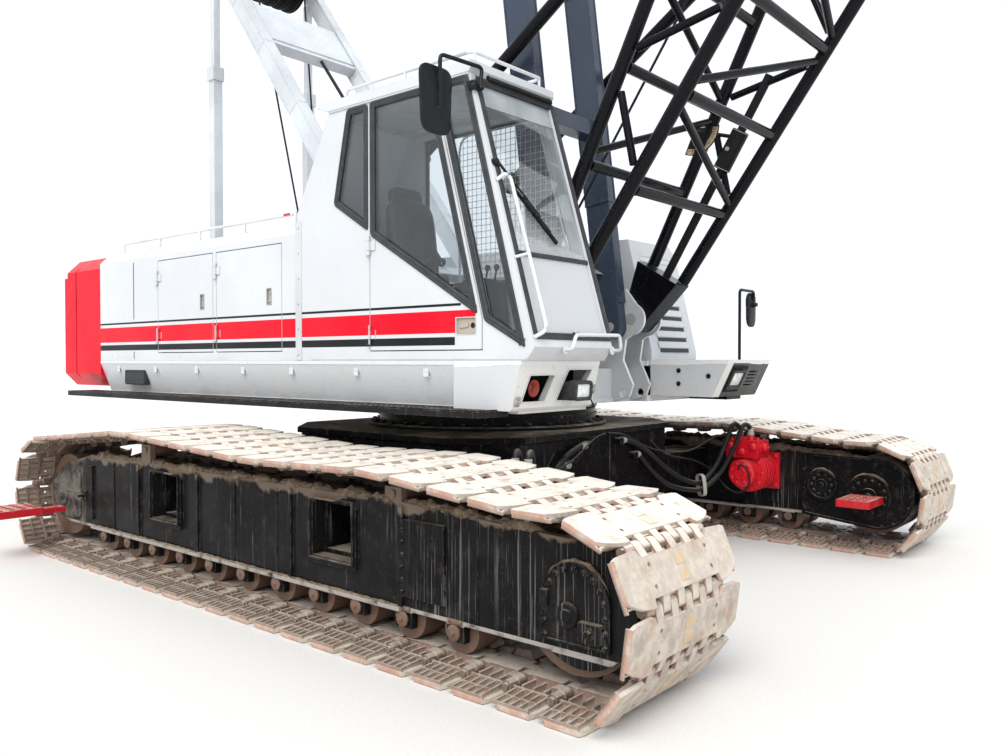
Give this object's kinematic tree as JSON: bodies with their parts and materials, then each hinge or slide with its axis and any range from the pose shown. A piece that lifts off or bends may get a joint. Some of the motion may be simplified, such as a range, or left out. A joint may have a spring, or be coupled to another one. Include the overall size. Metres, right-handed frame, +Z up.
{
  "type": "crawler crane with a lattice boom",
  "caption": "Lattice-boom crane on two wide tracks: slewing house with cab, live mast, gantry, counterweight and hook block; boom, mast, doors and hook are jointed.",
  "frame": {"origin": "on the ground under the centre of the slew ring", "axes": "+X forward along the boom, +Y to the crane's left, +Z up"},
  "size_m": [12.2339, 5.6, 12.5038],
  "materials": {
    "black_paint": "gloss black paint, dusty",
    "white_paint": "gloss white paint with red and black stripes",
    "grey_paint": "light grey paint, chipped",
    "red_paint": "gloss red paint",
    "mast_paint": "dark blue-black paint",
    "worn_track": "cast steel, rusty and worn bright",
    "bare_steel": "bare machined steel, greasy",
    "window_glass": "tinted safety glass",
    "hose_rubber": "black hydraulic hose",
    "seat_vinyl": "dark vinyl and plastic"
  },
  "bodies": {
    "undercarriage": {"carbody": "black_paint", "slew_ring_outer": "black_paint", "side_frame_right": "black_paint", "side_frame_left": "black_paint", "track_right": "worn_track", "track_left": "worn_track", "track_rollers": "worn_track", "drive_tumblers": "worn_track", "idler_wheels": "worn_track", "final_drives": "black_paint", "travel_motors": "red_paint", "travel_hoses": "hose_rubber", "track_steps": "red_paint"},
    "cab_door": {"cab_door": "white_paint", "cab_door_glass": "window_glass"},
    "house_door_rear": {"house_door_rear": "white_paint"},
    "house_door_front": {"house_door_front": "white_paint"},
    "engine_door": {"engine_door": "white_paint"},
    "mast": {"mast_legs": "mast_paint", "mast_sheaves": "black_paint"},
    "boom": {"boom_base": "black_paint", "boom_tip": "black_paint", "boom_sheaves": "black_paint", "boom_stops": "black_paint", "boom_pendants": "bare_steel"},
    "hook": {"hook_block": "red_paint"},
    "upper": {"slew_ring_inner": "black_paint", "turntable_frame": "grey_paint", "frame_plates": "grey_paint", "foot_pins": "bare_steel", "side_decks": "grey_paint", "catwalks": "black_paint", "counterweight": "red_paint", "house_right": "white_paint", "house_left": "white_paint", "engine_block": "black_paint", "hoist_drums": "bare_steel", "front_deck_right": "grey_paint", "front_deck_left": "grey_paint", "work_lamps": "bare_steel", "cab_shell": "white_paint", "cab_glass": "window_glass", "cab_interior": "seat_vinyl", "mirrors": "black_paint", "handrails": "white_paint", "gantry_front": "white_paint", "gantry_rear": "white_paint", "gantry_sheaves": "black_paint"}
  },
  "joints": [
    {"name": "slew", "type": "hinge", "parent": "undercarriage", "child": "upper", "pos_m": [0, 0, 1.1], "axis": [0, 0, 1], "continuous": true},
    {"name": "boom_luff", "type": "hinge", "parent": "upper", "child": "boom", "pos_m": [1.05, 0, 1.79], "axis": [0, -1, 0], "range_deg": [-59, 22]},
    {"name": "mast_luff", "type": "hinge", "parent": "upper", "child": "mast", "pos_m": [0.93, 0, 1.73], "axis": [0, -1, 0], "range_deg": [-59, 22]},
    {"name": "hook_plumb", "type": "hinge", "parent": "boom", "child": "hook", "pos_m": [7.57388, 0, 12.12719], "axis": [0, -1, 0], "range_deg": [-22, 59]},
    {"name": "cab_door_hinge", "type": "hinge", "parent": "upper", "child": "cab_door", "pos_m": [0.303, -1.514, 2.3], "axis": [0, 0, -1], "range_deg": [0, 95]},
    {"name": "house_door_rear_hinge", "type": "hinge", "parent": "upper", "child": "house_door_rear", "pos_m": [-2.378, -1.514, 1.9], "axis": [0, 0, -1], "range_deg": [0, 90]},
    {"name": "house_door_front_hinge", "type": "hinge", "parent": "upper", "child": "house_door_front", "pos_m": [-1.488, -1.514, 1.9], "axis": [0, 0, -1], "range_deg": [0, 90]},
    {"name": "engine_door_hinge", "type": "hinge", "parent": "upper", "child": "engine_door", "pos_m": [-2.853, 1.514, 1.9], "axis": [0, 0, 1], "range_deg": [0, 95]}
  ],
  "couplings": [
    {"joint": "mast_luff", "follows": "boom_luff", "ratio": 1},
    {"joint": "hook_plumb", "follows": "boom_luff", "ratio": -1}
  ]
}
